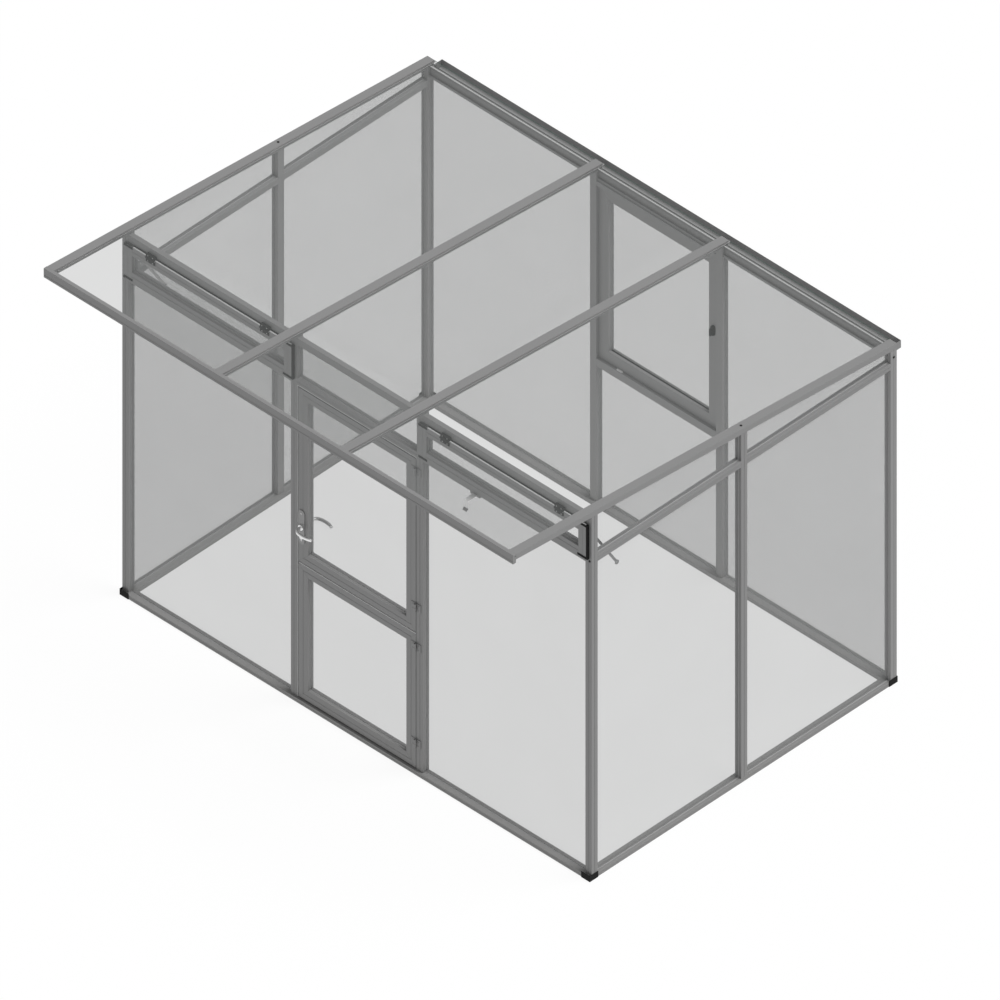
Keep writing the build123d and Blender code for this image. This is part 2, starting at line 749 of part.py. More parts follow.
lever_plan = Plane(origin=lever_origin, x_dir=front_wall.x_dir, z_dir=front_wall.z_dir)
spindle_hole = spindle_diameter / 2 + spindle_play

with BuildPart() as lower_leaf_stiles:
    add(lower_bars[0])
save(lower_leaf_stiles.part, "lower_leaf_stiles")

with BuildPart() as lower_leaf_rails:
    add(lower_bars[1])
save(lower_leaf_rails.part, "lower_leaf_rails")

with BuildPart() as lower_leaf_glass:
    add(sash_pane(front_wall, lower_low, lower_high, *lower_faces, leaf_setback))
save(lower_leaf_glass.part, "lower_leaf_glass")

with BuildPart() as upper_leaf_stiles:
    add(upper_bars[0])
    with BuildSketch(lever_plane):
        Circle(spindle_hole)
    extrude(amount=-leaf_depth, mode=Mode.SUBTRACT)
save(upper_leaf_stiles.part, "upper_leaf_stiles")

with BuildPart() as upper_leaf_rails:
    add(upper_bars[1])
save(upper_leaf_rails.part, "upper_leaf_rails")

with BuildPart() as upper_leaf_glass:
    add(sash_pane(front_wall, upper_low, upper_high, *upper_faces, leaf_setback))
save(upper_leaf_glass.part, "upper_leaf_glass")

# Lock plates on both faces of the upper leaf
with BuildPart() as lock_plates:
    for face, direction in ((0, 1), (leaf_depth, -1)):
        with BuildSketch(lever_plane.offset(-face)):
            SlotCenterToCenter(lock_plate_height - lock_plate_width, lock_plate_width, rotation=90)
            Circle(spindle_hole, mode=Mode.SUBTRACT)
        extrude(amount=direction * lock_plate_thickness)
save(lock_plates.part, "lock_plates")

# Lever handle: a bowed lever on each face of the leaf, joined by the spindle
with BuildPart() as lever_handle:
    for face, way, extra in ((0, -1, 0), (leaf_depth, 1, lever_inner_extra)):
        neck_start = (0, face + way * (lock_plate_thickness + lever_gap))
        neck_end = (0, face + way * (lever_neck + extra))
        elbow = (lever_elbow, face + way * (lever_standoff + extra))
        tip = (lever_reach, face + way * (lever_tip_standoff + extra))
        with BuildSketch(lever_plan):
            with BuildLine():
                neck = Line(neck_start, neck_end)
                turn = TangentArc(neck_end, elbow, tangent=neck % 1)
                TangentArc(elbow, tip, tangent=turn % 1)
            trace(line_width=lever_width)
        extrude(amount=lever_height / 2, both=True)
    level_faces = lever_handle.faces().filter_by(Axis.Z)
    chamfer(level_faces.edges(), length=lever_chamfer)
    with BuildSketch(lever_plane.offset(lever_neck)):
        Circle(spindle_diameter / 2)
    extrude(amount=-(leaf_depth + 2 * lever_neck))
save(lever_handle.part, "lever_handle")

# Lift-off hinges: the lower knuckle and the pin stay on the post, the upper knuckle goes with the leaf
hinge_place = half_opening - leaf_gap / 2
knuckle_height = (hinge_height - hinge_split) / 2
lower_hinge_levels = (lower_low[1] + hinge_foot_inset, lower_high[1] - hinge_head_inset)
upper_hinge_levels = (upper_low[1] + hinge_foot_inset, upper_high[1] - hinge_head_inset)
plate_start = hinge_barrel_radius + hinge_clear

# Catch for the open upper leaf: a block under the sill of the vent, a strap over the leaf and a lip
catch_place = hinge_place + (leaf_right - leaf_left) / 2
catch_plane = rail_plane(front_wall, catch_place, transom_level)
strap_under = catch_clear - leaf_head_gap
lip_place = -(2 * hinge_offset + leaf_depth + catch_clear)
with BuildPart() as door_catch:
    with BuildSketch(catch_plane):
        with Locations((-catch_block_drop / 2, catch_block_depth / 2)):
            Rectangle(catch_block_drop, catch_block_depth)
    extrude(amount=catch_block_width / 2, both=True)
    with BuildSketch(catch_plane):
        with BuildLine():
            Polyline(
                (strap_under, catch_thickness),
                (strap_under, lip_place),
                (strap_under - catch_lip_drop, lip_place),
                (strap_under - catch_lip_drop - catch_flare, lip_place - catch_flare),
            )
            offset(amount=catch_thickness, side=Side.LEFT)
        make_face()
    extrude(amount=catch_width / 2, both=True)
save(door_catch.part, "door_catch")


def hinge_half(level, side, knuckle_start):
    """Make a plate on one side of the axis with its knuckle and the web between them."""
    with BuildPart() as half:
        plate_centre = hinge_place + side * (plate_start + hinge_plate_width) / 2
        with BuildSketch(post_plane(front_wall, plate_centre, level - hinge_height / 2)):
            with Locations((0, -hinge_plate_thickness / 2)):
                Rectangle(hinge_plate_width - plate_start, hinge_plate_thickness)
        extrude(amount=hinge_height)
        with BuildSketch(post_plane(front_wall, hinge_place, knuckle_start)):
            with Locations((0, -hinge_offset)):
                Circle(hinge_barrel_radius)
            with Locations((side * plate_start / 2, -hinge_plate_thickness / 2)):
                Rectangle(plate_start, hinge_plate_thickness)
        extrude(amount=knuckle_height)
    return half.part


with BuildPart() as post_hinges:
    for level in lower_hinge_levels + upper_hinge_levels:
        add(hinge_half(level, 1, level - hinge_height / 2))
        with BuildSketch(post_plane(front_wall, hinge_place, level - hinge_height / 2)):
            with Locations((0, -hinge_offset)):
                Circle(hinge_pin_radius)
        extrude(amount=hinge_height - hinge_clear)
save(post_hinges.part, "post_hinges")

for name, levels in (("lower_leaf_hinges", lower_hinge_levels), ("upper_leaf_hinges", upper_hinge_levels)):
    with BuildPart() as leaf_hinges:
        for level in levels:
            add(hinge_half(level, -1, level + hinge_split / 2))
            with BuildSketch(post_plane(front_wall, hinge_place, level)):
                with Locations((0, -hinge_offset)):
                    Circle(hinge_pin_radius + hinge_pin_play)
            extrude(amount=hinge_height, mode=Mode.SUBTRACT)
    save(leaf_hinges.part, name)
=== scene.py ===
"""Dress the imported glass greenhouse: finishes for its bars and panes, seals, screws and door fittings."""

import json
import logging
import math
from dataclasses import dataclass, field
from enum import Enum
from typing import Any, Callable, Dict, List, Optional, Sequence, Tuple, Union

import bmesh
import bpy
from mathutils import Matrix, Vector

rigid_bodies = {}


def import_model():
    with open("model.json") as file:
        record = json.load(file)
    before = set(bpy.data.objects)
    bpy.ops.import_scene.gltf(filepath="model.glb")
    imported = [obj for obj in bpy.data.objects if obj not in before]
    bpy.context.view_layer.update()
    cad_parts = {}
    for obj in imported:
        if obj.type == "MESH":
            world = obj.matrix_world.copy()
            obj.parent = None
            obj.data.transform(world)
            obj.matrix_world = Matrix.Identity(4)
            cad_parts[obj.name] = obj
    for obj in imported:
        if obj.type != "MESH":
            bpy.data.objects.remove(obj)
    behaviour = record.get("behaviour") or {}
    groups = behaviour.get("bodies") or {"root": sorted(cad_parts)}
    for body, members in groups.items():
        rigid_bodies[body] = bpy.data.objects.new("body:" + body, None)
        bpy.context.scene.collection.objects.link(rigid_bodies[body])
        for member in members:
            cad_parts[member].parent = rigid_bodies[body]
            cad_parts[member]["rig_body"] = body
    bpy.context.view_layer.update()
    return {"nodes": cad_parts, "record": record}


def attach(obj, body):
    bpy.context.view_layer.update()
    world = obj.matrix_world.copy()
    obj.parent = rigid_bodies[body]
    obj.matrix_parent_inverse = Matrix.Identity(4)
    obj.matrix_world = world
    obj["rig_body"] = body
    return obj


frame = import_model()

LOG = logging.getLogger("greenhouse")
MERGE_DISTANCE = 0.00001
FLAT_ANGLE = math.radians(1.0)
HINGE_AXIS_X = 0.3745
HINGE_SPACING = 0.1
PLAIN_DETAIL = 2.0
FINE_DETAIL = 4.0
DUST_DETAIL = 5.0
ROUND_STEPS = 24
FITTING_STEPS = 32
SOCKET_SIDES = 6
NOISE_MIDDLE = 0.5
FRONT_WAY = (0.0, -1.0, 0.0)

# Places of the colour sockets on the Mix node
MIX_FACTOR = 0
MIX_FIRST = 6
MIX_SECOND = 7
MIX_RESULT = 2

Number = Union[int, float]
Colour = Tuple[float, float, float, float]


class Body(Enum):
    """The bodies that a piece can ride on."""

    FRAME = "frame"
    UPPER_LEAF = "upper_leaf"
    LOWER_LEAF = "lower_leaf"
    LEVER = "lever"


class Slot(Enum):
    """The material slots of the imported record."""

    FRAME_GREY = "frame_grey"
    CLEAR_GLASS = "clear_glass"
    BLACK_PLASTIC = "black_plastic"
    HINGE_GREY = "hinge_grey"
    STEEL = "steel"


class Wire:
    """An output socket that takes part in Python sums."""

    def __init__(self, graph: "Graph", socket: bpy.types.NodeSocket) -> None:
        """Keep the graph and the socket."""
        self.graph = graph
        self.socket = socket

    def __add__(self, other: Union["Wire", Number]) -> "Wire":
        """Add a value or another wire."""
        return self.graph.math("ADD", self, other)

    def __radd__(self, other: Number) -> "Wire":
        """Add this wire to a number."""
        return self.graph.math("ADD", other, self)

    def __sub__(self, other: Union["Wire", Number]) -> "Wire":
        """Take a value or another wire away."""
        return self.graph.math("SUBTRACT", self, other)

    def __rsub__(self, other: Number) -> "Wire":
        """Take this wire away from a number."""
        return self.graph.math("SUBTRACT", other, self)

    def __mul__(self, other: Union["Wire", Number]) -> "Wire":
        """Multiply by a value or another wire."""
        return self.graph.math("MULTIPLY", self, other)

    def clamp(self) -> "Wire":
        """Hold the value between nought and one."""
        return self.graph.math("ADD", self, 0.0, {"use_clamp": True})


class Graph:
    """The node tree of one material."""

    def __init__(self, name: str) -> None:
        """Start an empty material.

        Args:
            name: name of the material.
        """
        self.material = bpy.data.materials.new(name)
        self.material.use_nodes = True
        self.tree = self.material.node_tree
        self.tree.nodes.clear()

    def node(
        self,
        kind: str,
        settings: Optional[Dict[str, Any]] = None,
        sockets: Optional[Dict[Union[str, int], Any]] = None,
        output: Union[str, int] = 0,
    ) -> Wire:
        """Add one node.

        Args:
            kind: Blender's type name of the node.
            settings: properties that are set first.
            sockets: values or wires for the node's inputs, by name or place.
            output: name or place of the output that is wanted.

        Returns:
            The wanted output as a wire, or the node's first input for an end node.
        """
        made = self.tree.nodes.new(kind)
        for key, value in (settings or {}).items():
            setattr(made, key, value)
        for key, value in (sockets or {}).items():
            if isinstance(value, Wire):
                self.tree.links.new(value.socket, made.inputs[key])
            else:
                made.inputs[key].default_value = value
        return Wire(self, made.outputs[output] if len(made.outputs) else made.inputs[0])

    def math(
        self,
        operation: str,
        first: Union[Wire, Number],
        second: Union[Wire, Number],
        settings: Optional[Dict[str, Any]] = None,
    ) -> Wire:
        """Add a Math node for two values."""
        choice = {"operation": operation, **(settings or {})}
        return self.node("ShaderNodeMath", choice, {0: first, 1: second})

    def mix(self, factor: Union[Wire, Number], first: Any, second: Any) -> Wire:
        """Blend two colours by a factor."""
        sockets = {MIX_FACTOR: factor, MIX_FIRST: first, MIX_SECOND: second}
        return self.node("ShaderNodeMix", {"data_type": "RGBA"}, sockets, MIX_RESULT)

    def place(self) -> Wire:
        """Give the place on the piece itself, in metres."""
        return self.node("ShaderNodeTexCoord", output="Object")

    def stretch(self, scale: Sequence[float]) -> Wire:
        """Give the place on the piece, stretched along the axes."""
        return self.node(
            "ShaderNodeVectorMath", {"operation": "MULTIPLY"}, {0: self.place(), 1: tuple(scale)}
        )

    def noise(self, scale: float, detail: float = PLAIN_DETAIL, place: Optional[Wire] = None) -> Wire:
        """Give a soft noise between nought and one."""
        sockets = {"Vector": place or self.place(), "Scale": scale, "Detail": detail}
        return self.node("ShaderNodeTexNoise", {"noise_dimensions": "3D"}, sockets)

    def bump(self, height: Wire, strength: float, distance: float) -> Wire:
        """Turn a height into a normal."""
        sockets = {"Height": height, "Strength": strength, "Distance": distance}
        return self.node("ShaderNodeBump", None, sockets)

    def close(self, sockets: Dict[Union[str, int], Any]) -> bpy.types.Material:
        """End the material with a Principled shader.

        Args:
            sockets: values or wires for the shader's inputs.

        Returns:
            The finished material.
        """
        shader = self.node("ShaderNodeBsdfPrincipled", None, sockets)
        self.node("ShaderNodeOutputMaterial", None, {"Surface": shader})
        return self.material


def grey(level: float) -> Colour:
    """Give a neutral colour of one level."""
    return (level, level, level, 1.0)


@dataclass(frozen=True)
class CoatedMetal:
    """Powder-coated aluminium with a fine orange-peel grain and dust near the ground."""

    name: str
    level: float
    cloud_share: float = 0.05
    cloud_scale: float = 2.2
    speck_scale: float = 1400.0
    speck_detail: float = 1.0
    speck_share: float = 0.06
    speck_dark_share: float = 0.12
    dust_height: float = 0.22
    dust_scale: float = 30.0
    dust_share: float = 0.16
    dust_colour: Colour = (0.23, 0.215, 0.19, 1.0)
    roughness: float = 0.46
    roughness_spread: float = 0.14
    peel_scale: float = 700.0
    peel_strength: float = 0.12
    peel_distance: float = 0.0003

    def build(self) -> bpy.types.Material:
        """Make the material.

        Returns:
            The finished material.
        """
        graph = Graph(self.name)
        cloud = graph.noise(self.cloud_scale, FINE_DETAIL)
        speck = graph.noise(self.speck_scale, self.speck_detail)
        low = grey(self.level * (1.0 - self.cloud_share))
        high = grey(self.level * (1.0 + self.cloud_share))
        coat = graph.mix(cloud, low, high)
        darker = grey(self.level * (1.0 - self.speck_dark_share))
        coat = graph.mix(speck * self.speck_share, coat, darker)
        rise = graph.node("ShaderNodeSeparateXYZ", None, {0: graph.place()}, "Z")
        dust = (1.0 - rise * (1.0 / self.dust_height)).clamp() * graph.noise(self.dust_scale, DUST_DETAIL)
        colour = graph.mix(dust * self.dust_share, coat, self.dust_colour)
        peel = graph.noise(self.peel_scale)
        rough = self.roughness + (cloud - NOISE_MIDDLE) * self.roughness_spread + dust * self.dust_share
        normal = graph.bump(peel, self.peel_strength, self.peel_distance)
        return graph.close({"Base Color": colour, "Roughness": rough, "Normal": normal})


@dataclass(frozen=True)
class PaneGlass:
    """Clear float glass with a faint film of dust."""

    name: str
    colour: Colour
    alpha: float
    film_share: float = 0.02
    film_scale: float = 3.0
    roughness: float = 0.04
    roughness_spread: float = 0.06

    def build(self) -> bpy.types.Material:
        """Make the material.

        Returns:
            The finished material.
        """
        graph = Graph(self.name)
        film = graph.noise(self.film_scale, DUST_DETAIL)
        alpha = self.alpha + (film - NOISE_MIDDLE) * self.film_share
        rough = self.roughness + film * self.roughness_spread
        made = graph.close({"Base Color": self.colour, "Roughness": rough, "Alpha": alpha})
        made.surface_render_method = "BLENDED"
        return made


@dataclass(frozen=True)
class MouldedPlastic:
    """Dark plastic or rubber with a fine moulded grain."""

    name: str
    level: float
    roughness: float = 0.5
    roughness_spread: float = 0.12
    gloss: float = 0.1
    grain_scale: float = 1600.0
    grain_strength: float = 0.25
    grain_distance: float = 0.0002
    fade_scale: float = 9.0
    fade_share: float = 0.6

    def build(self) -> bpy.types.Material:
        """Make the material.

        Returns:
            The finished material.
        """
        graph = Graph(self.name)
        fade = graph.noise(self.fade_scale, FINE_DETAIL)
        grain = graph.noise(self.grain_scale)
        colour = graph.mix(fade, grey(self.level), grey(self.level * (1.0 + self.fade_share)))
        rough = self.roughness + (grain - NOISE_MIDDLE) * self.roughness_spread
        normal = graph.bump(grain, self.grain_strength, self.grain_distance)
        return graph.close(
            {"Base Color": colour, "Roughness": rough, "Specular IOR Level": self.gloss, "Normal": normal}
        )


@dataclass(frozen=True)
class BrushedMetal:
    """Bare metal with fine brush lines along one axis."""

    name: str
    level: float
    stretch: Tuple[float, float, float] = (20.0, 900.0, 900.0)
    roughness: float = 0.3
    roughness_spread: float = 0.16
    line_scale: float = 1.0
    line_detail: float = 3.0
    line_share: float = 0.12
    line_strength: float = 0.15
    line_distance: float = 0.0001

    def build(self) -> bpy.types.Material:
        """Make the material.

        Returns:
            The finished material.
        """
        graph = Graph(self.name)
        lines = graph.noise(self.line_scale, self.line_detail, graph.stretch(self.stretch))
        low = grey(self.level * (1.0 - self.line_share))
        colour = graph.mix(lines, low, grey(self.level * (1.0 + self.line_share)))
        rough = self.roughness + (lines - NOISE_MIDDLE) * self.roughness_spread
        normal = graph.bump(lines, self.line_strength, self.line_distance)
        sockets = {"Base Color": colour, "Metallic": 1.0, "Roughness": rough, "Normal": normal}
        return graph.close(sockets)


@dataclass(frozen=True)
class FloorPaint:
    """Plain pale floor of the studio."""

    name: str
    level: float = 0.06
    glow: float = 0.92
    roughness: float = 0.9

    def build(self) -> bpy.types.Material:
        """Make the material.

        Returns:
            The finished material.
        """
        graph = Graph(self.name)
        return graph.close(
            {
                "Base Color": grey(self.level),
                "Roughness": self.roughness,
                "Specular IOR Level": 0.0,
                "Emission Color": grey(1.0),
                "Emission Strength": self.glow,
            }
        )


@dataclass
class Finishes:
    """All finishes of the building, each made once."""

    frame_grey: CoatedMetal = CoatedMetal("frame_coating", 0.185)
    hinge_grey: CoatedMetal = CoatedMetal("hinge_casting", 0.2, peel_scale=420.0)
    lock_coat: CoatedMetal = CoatedMetal("lock_coating", 0.24, roughness=0.36, peel_scale=1200.0)
    catch_coat: CoatedMetal = CoatedMetal("catch_coating", 0.85)
    # Lighter finish for the faces in the gutter's trough: painted light that lifts the shade falling in the
    # trough.
    gutter_lining: CoatedMetal = CoatedMetal("gutter_lining", 0.32)
    # Two copies of one float glass, painted light: the wall copy is less see-through and the roof copy more,
    # to stand for how light falls on each.
    glass: PaneGlass = PaneGlass("wall_glass_shaded_copy", (0.138, 0.144, 0.142, 1.0), 0.235)
    roof_glass: PaneGlass = PaneGlass("roof_glass", (0.142, 0.148, 0.145, 1.0), 0.188)
    glass_edge: PaneGlass = PaneGlass("pane_edge", (0.16, 0.3, 0.25, 1.0), 0.8, roughness=0.25)
    plastic: MouldedPlastic = MouldedPlastic("black_plastic", 0.006, roughness=0.62)
    light_strip: MouldedPlastic = MouldedPlastic("light_strip", 0.62, roughness=0.7, fade_share=0.15)
    rubber: MouldedPlastic = MouldedPlastic("seal_rubber", 0.006, roughness=0.68, grain_scale=900.0)
    grey_rubber: MouldedPlastic = MouldedPlastic("glazing_rubber", 0.27, roughness=0.7, fade_share=0.2)
    # Pale rubber, painted light: it lifts the shade in the glazing grooves and draws thin bright lines at the
    # door latch and under the roof's rear edge.
    pale_rubber: MouldedPlastic = MouldedPlastic("gasket_leg_painted_lighter", 0.46, roughness=0.7, fade_share=0.2)
    strip_rubber: MouldedPlastic = MouldedPlastic("strip_rubber", 0.17, roughness=0.7, fade_share=0.2)
    steel: BrushedMetal = BrushedMetal("brushed_steel", 0.78)
    zinc: BrushedMetal = BrushedMetal("zinc_plate", 0.42, roughness=0.42)
    made: Dict[str, bpy.types.Material] = field(default_factory=dict)

    def get(self, kind: str) -> bpy.types.Material:
        """Give the material of one finish, made at its first use.

        Args:
            kind: name of the finish's field.

        Returns:
            The material.
        """
        if kind not in self.made:
            self.made[kind] = getattr(self, kind).build()
        return self.made[kind]


@dataclass
class Mesher:
    """Collects the points and faces of one piece."""

    name: str
    points: List[Vector] = field(default_factory=list)
    faces: List[Tuple[int, ...]] = field(default_factory=list)
    second: List[int] = field(default_factory=list)
    edge_steps: int = 2

    def loft(self, rings: Sequence[Sequence[Vector]]) -> None:
        """Join closed rings of equal count into a skin and close its two ends.

        Args:
            rings: rings of points, in order along the piece.
        """
        start = len(self.points)
        count = len(rings[0])
        last = start + (len(rings) - 1) * count
        for ring in rings:
            self.points.extend(Vector(point) for point in ring)
        for low in range(start, last, count):
            high = low + count
            for step in range(count):
                following = (step + 1) % count
                self.faces.append((low + step, low + following, high + following, high + step))
        self.faces.append(tuple(start + step for step in reversed(range(count))))
        self.faces.append(tuple(last + step for step in range(count)))

    def block(self, low: Sequence[float], high: Sequence[float]) -> None:
        """Add an upright block between two corners."""
        ring = [(low[0], low[1]), (high[0], low[1]), (high[0], high[1]), (low[0], high[1])]
        self.loft([[Vector((x, y, z)) for x, y in ring] for z in (low[2], high[2])])

    def turned(
        self,
        centre: Vector,
        axis: Vector,
        profile: Sequence[Tuple[float, float]],
        steps: int = ROUND_STEPS,
        socket_from: Optional[int] = None,
    ) -> None:
        """Add a turned piece.

        Args:
            centre: foot of the piece.
            axis: direction that it stands in.
            profile: pairs of radius and height.
            steps: points round the axis.
            socket_from: place in the profile from which the rings are six-sided.
        """
        across = axis.orthogonal().normalized()
        other = axis.cross(across).normalized()
        half_side = math.pi / SOCKET_SIDES
        rings = []
        for place, (radius, height) in enumerate(profile):
            ring = []
            for step in range(steps):
                turn = math.tau * step / steps
                reach = radius
                if socket_from is not None and place >= socket_from:
                    off = (turn + half_side) % (2 * half_side) - half_side
                    reach = radius * math.cos(half_side) / math.cos(off)
                outward = across * math.cos(turn) + other * math.sin(turn)
                ring.append(centre + axis * height + outward * reach)
            rings.append(ring)
        self.loft(rings)

    def make(
        self,
        material: bpy.types.Material,
        body: Body,
        bevel: float = 0.0,
        smooth: bool = False,
        second: Optional[bpy.types.Material] = None,
        weld: bool = False,
    ) -> bpy.types.Object:
        """Turn what was collected into an object that rides on a body.

        Args:
            material: finish of the piece.
            body: body that carries it.
            bevel: width of the rounding of its edges.
            smooth: shade the faces smoothly.
            second: finish of the faces that are noted for a second finish.
            weld: join points that lie in one place.

        Returns:
            The new object.
        """
        mesh = bpy.data.meshes.new(self.name)
        mesh.from_pydata([tuple(point) for point in self.points], [], self.faces)
        mesh.materials.append(material)
        if second:
            mesh.materials.append(second)
            for place in self.second:
                mesh.polygons[place].material_index = 1
        work = bmesh.new()
        work.from_mesh(mesh)
        if weld:
            bmesh.ops.remove_doubles(work, verts=work.verts, dist=MERGE_DISTANCE)
        bmesh.ops.recalc_face_normals(work, faces=work.faces)
        work.to_mesh(mesh)
        work.free()
        if smooth:
            mesh.shade_smooth()
        made = bpy.data.objects.new(self.name, mesh)
        bpy.context.scene.collection.objects.link(made)
        if bevel:
            rounding = made.modifiers.new("edge_rounding", "BEVEL")
            rounding.width = bevel
            rounding.segments = self.edge_steps
            rounding.limit_method = "ANGLE"
        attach(made, body.value)
        LOG.info("piece %s: %d points, %d faces", self.name, len(self.points), len(self.faces))
        return made


@dataclass
class BarFrame:
    """The CAD nodes, which keep their shape and get their finishes here."""

    nodes: Dict[str, bpy.types.Object]
    slots: Dict[str, str]
    finishes: Finishes
    edge_width: float = 0.0007
    edge_angle: float = math.radians(40.0)
    lever_edge_width: float = 0.0016
    lever_edge_angle: float = math.radians(30.0)
    lever_edge_steps: int = 3
    thin_area: float = 0.03
    square: float = 0.9
    trough_middle: float = 1.25
    trough_top: float = 1.93
    catch_front: float = -0.7585
    catch_flare: float = 1.7965

    def dress(self) -> None:
        """Give every node its finish."""
        kinds = {
            Slot.FRAME_GREY.value: "frame_grey",
            Slot.CLEAR_GLASS.value: "glass",
            Slot.BLACK_PLASTIC.value: "plastic",
            Slot.HINGE_GREY.value: "hinge_grey",
            Slot.STEEL.value: "steel",
        }
        own_kinds = {
            "roof_glass": "roof_glass",
            "lock_plates": "lock_coat",
            "door_catch": "catch_coat",
            "vent_handles": "zinc",
        }
        for name, node in self.nodes.items():
            slot = self.slots[name]
            kind = own_kinds.get(name, kinds[slot])
            node.data.materials.clear()
            node.data.materials.append(self.finishes.get(kind))
            if slot == Slot.CLEAR_GLASS.value:
                self.dress_pane(node)
            elif name == "lever_handle":
                self.round_edges(node, self.lever_edge_width, self.lever_edge_angle, self.lever_edge_steps)
            else:
                self.round_edges(node, self.edge_width, self.edge_angle)
            LOG.info("node %s takes %s", name, kind)
        # The faces in the trough take a lighter finish, painted light against the shade in the trough.
        self.dress_faces("gutter", "gutter_lining", self.in_trough)
        self.dress_faces("door_catch", "frame_grey", self.off_strap)

    def in_trough(self, face: bpy.types.MeshPolygon) -> bool:
        """Tell whether a face of the gutter looks into its trough, where a lighter finish is painted light.
        """
        looks_in = face.normal.y < -self.square and face.center.y > self.trough_middle
        return looks_in or (face.normal.z > self.square and face.center.z < self.trough_top)

    def off_strap(self, face: bpy.types.MeshPolygon) -> bool:
        """Tell whether a face of the door catch is on its block or its flared tip."""
        return face.center.y > self.catch_front or face.center.z < self.catch_flare

    def dress_faces(self, name: str, kind: str, chosen: Callable[[bpy.types.MeshPolygon], bool]) -> None:
        """Give some faces of a node a second finish.

        Args:
            name: node that the faces belong to.
            kind: name of the second finish.
            chosen: test that picks the faces.
        """
        mesh = self.nodes[name].data
        mesh.materials.append(self.finishes.get(kind))
        for polygon in mesh.polygons:
            if chosen(polygon):
                polygon.material_index = 1

    def dress_pane(self, node: bpy.types.Object) -> None:
        """Give the edges of a pane their own finish and let light through it.

        Args:
            node: glass node.
        """
        node.data.materials.append(self.finishes.get("glass_edge"))
        for polygon in node.data.polygons:
            if polygon.area < self.thin_area:
                polygon.material_index = 1
        node.visible_shadow = False
        node.visible_diffuse = False

    def round_edges(self, node: bpy.types.Object, width: float, angle: float, steps: int = 1) -> None:
        """Round the edges of a node.

        Args:
            node: node whose edges are rounded.
            width: width of the rounding.
            angle: least angle between two faces at a rounded edge.
            steps: faces across the rounding.
        """
        if "custom_normal" in node.data.attributes:
            node.data.attributes.remove(node.data.attributes["custom_normal"])
        node.data.shade_flat()
        weld = node.modifiers.new("weld", "WELD")
        weld.merge_threshold = MERGE_DISTANCE
        rounding = node.modifiers.new("edge_rounding", "BEVEL")
        rounding.width = width
        rounding.segments = steps
        rounding.limit_method = "ANGLE"
        rounding.angle_limit = angle


